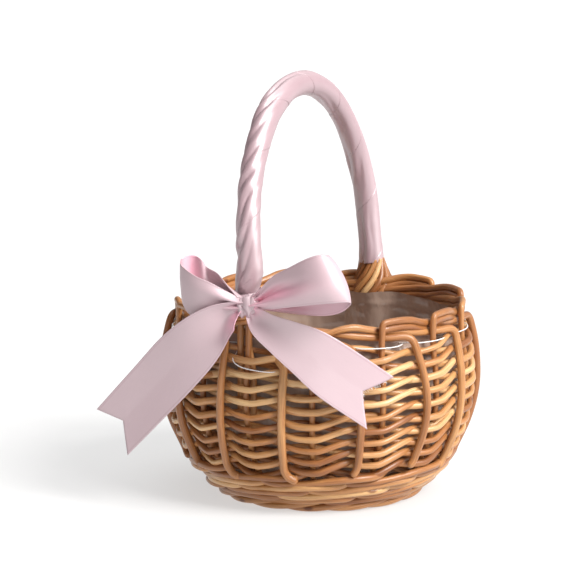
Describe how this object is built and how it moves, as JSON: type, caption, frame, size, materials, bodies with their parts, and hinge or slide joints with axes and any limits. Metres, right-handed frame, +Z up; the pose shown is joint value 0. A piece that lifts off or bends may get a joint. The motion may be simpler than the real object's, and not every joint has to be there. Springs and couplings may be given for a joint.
{
  "type": "easter basket",
  "caption": "Round willow basket with a tall hoop handle wrapped in satin ribbon, a satin bow at one handle foot and a clear film liner, for eggs, petals or small gifts.",
  "frame": {"origin": "centre of the foot ring's underside, on the bowl's axis and on the surface that the basket stands on", "axes": "+Z up; the handle's two feet lie on the Y axis with the bow's foot at -Y; +X is to the right when facing the bow"},
  "size_m": [0.2026, 0.2066, 0.2568],
  "materials": {
    "willow": "peeled willow with a thin clear varnish",
    "willow_thick": "thicker peeled willow, a little darker, thin clear varnish",
    "satin_wrap": "glossy woven satin ribbon, wound spirally",
    "satin_bow": "glossy woven satin ribbon with a fine selvedge",
    "clear_film": "clear limp plastic film",
    "thread": "white sewing thread"
  },
  "bodies": {
    "root": {"foot_ring": "willow_thick", "base_sticks_split": "willow_thick", "base_sticks_through": "willow_thick", "base_weave": "willow", "wale_01": "willow_thick", "wale_02": "willow_thick", "wale_03": "willow_thick", "wale_04": "willow_thick", "weaver_01": "willow", "weaver_02": "willow", "weaver_03": "willow", "weaver_04": "willow", "weaver_05": "willow", "weaver_06": "willow", "weaver_07": "willow", "weaver_08": "willow", "weaver_09": "willow", "weaver_10": "willow", "weaver_11": "willow", "weaver_12": "willow", "weaver_13": "willow", "weaver_14": "willow", "weaver_15": "willow", "weaver_16": "willow", "weaver_17": "willow", "weaver_18": "willow", "weaver_19": "willow", "weaver_20": "willow", "stake_rod_01": "willow", "stake_rod_02": "willow", "stake_rod_03": "willow", "stake_rod_04": "willow", "stake_rod_05": "willow", "stake_rod_06": "willow", "stake_rod_07": "willow", "stake_rod_08": "willow", "stake_rod_09": "willow", "stake_rod_10": "willow", "stake_rod_11": "willow", "stake_rod_12": "willow", "stake_rod_13": "willow", "stake_rod_14": "willow", "handle_core": "willow_thick", "handle_wrap": "satin_wrap", "handle_collar_near": "willow", "handle_collar_far": "willow", "bow_band": "satin_bow", "bow_knot": "satin_bow", "bow_loop_left": "satin_bow", "bow_loop_right": "satin_bow", "bow_tail_left": "satin_bow", "bow_tail_right": "satin_bow", "liner_film": "clear_film", "stitch_thread": "thread"}
  },
  "joints": []
}
